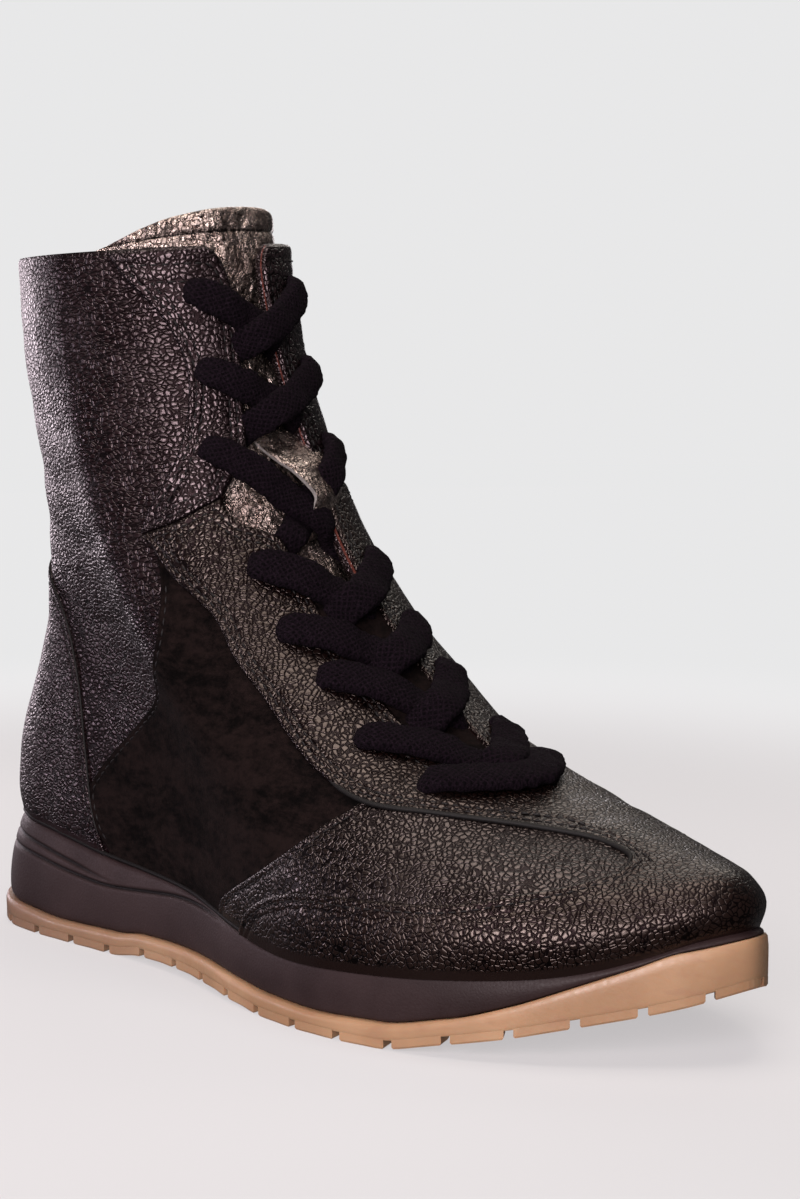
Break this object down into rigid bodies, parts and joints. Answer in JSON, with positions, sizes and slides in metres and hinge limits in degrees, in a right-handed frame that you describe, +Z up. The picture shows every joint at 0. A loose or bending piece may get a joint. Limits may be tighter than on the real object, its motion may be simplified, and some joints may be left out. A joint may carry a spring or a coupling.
{
  "type": "high-top lace-up sneaker boot",
  "caption": "High-top leather lace-up boot with a padded tongue, crossed flat laces, a wedge midsole and a lugged gum rubber outsole; hollow, open at the collar and throat.",
  "frame": {"origin": "on the floor, at the middle of the heel tread", "axes": "+X to the toe, +Y to the inner side of the foot (this is a right boot), +Z up"},
  "size_m": [0.282, 0.1009, 0.223],
  "materials": {
    "gum_rubber": "matte moulded gum",
    "midsole_foam": "matte fine-grained foam",
    "insole_board": "matte woven lining",
    "leather_black": "pebbled, semi-gloss",
    "leather_plum": "pebbled, semi-gloss",
    "leather_facing": "pebbled, semi-gloss",
    "leather_counter": "pebbled, semi-gloss",
    "suede": "napped suede",
    "suede_strip": "napped suede",
    "metallic_leather": "crinkled metallic pewter",
    "keeper_leather": "crinkled metallic pewter",
    "lace_cotton": "woven flat cotton, matte"
  },
  "bodies": {
    "root": {"outsole": "gum_rubber", "midsole": "midsole_foam", "insole": "insole_board", "upper": "leather_black", "vamp_overlay": "leather_plum", "facing_outer": "leather_facing", "facing_inner": "leather_facing", "heel_counter": "leather_counter", "back_strip": "suede_strip", "side_panel_outer": "suede", "side_panel_inner": "suede", "tongue": "metallic_leather", "lace_keeper": "keeper_leather", "lace_cross_1": "lace_cotton", "lace_cross_2": "lace_cotton", "lace_cross_3": "lace_cotton", "lace_cross_4": "lace_cotton", "lace_cross_5": "lace_cotton", "lace_cross_6": "lace_cotton", "lace_cross_7": "lace_cotton", "lace_bar": "lace_cotton"}
  },
  "joints": []
}
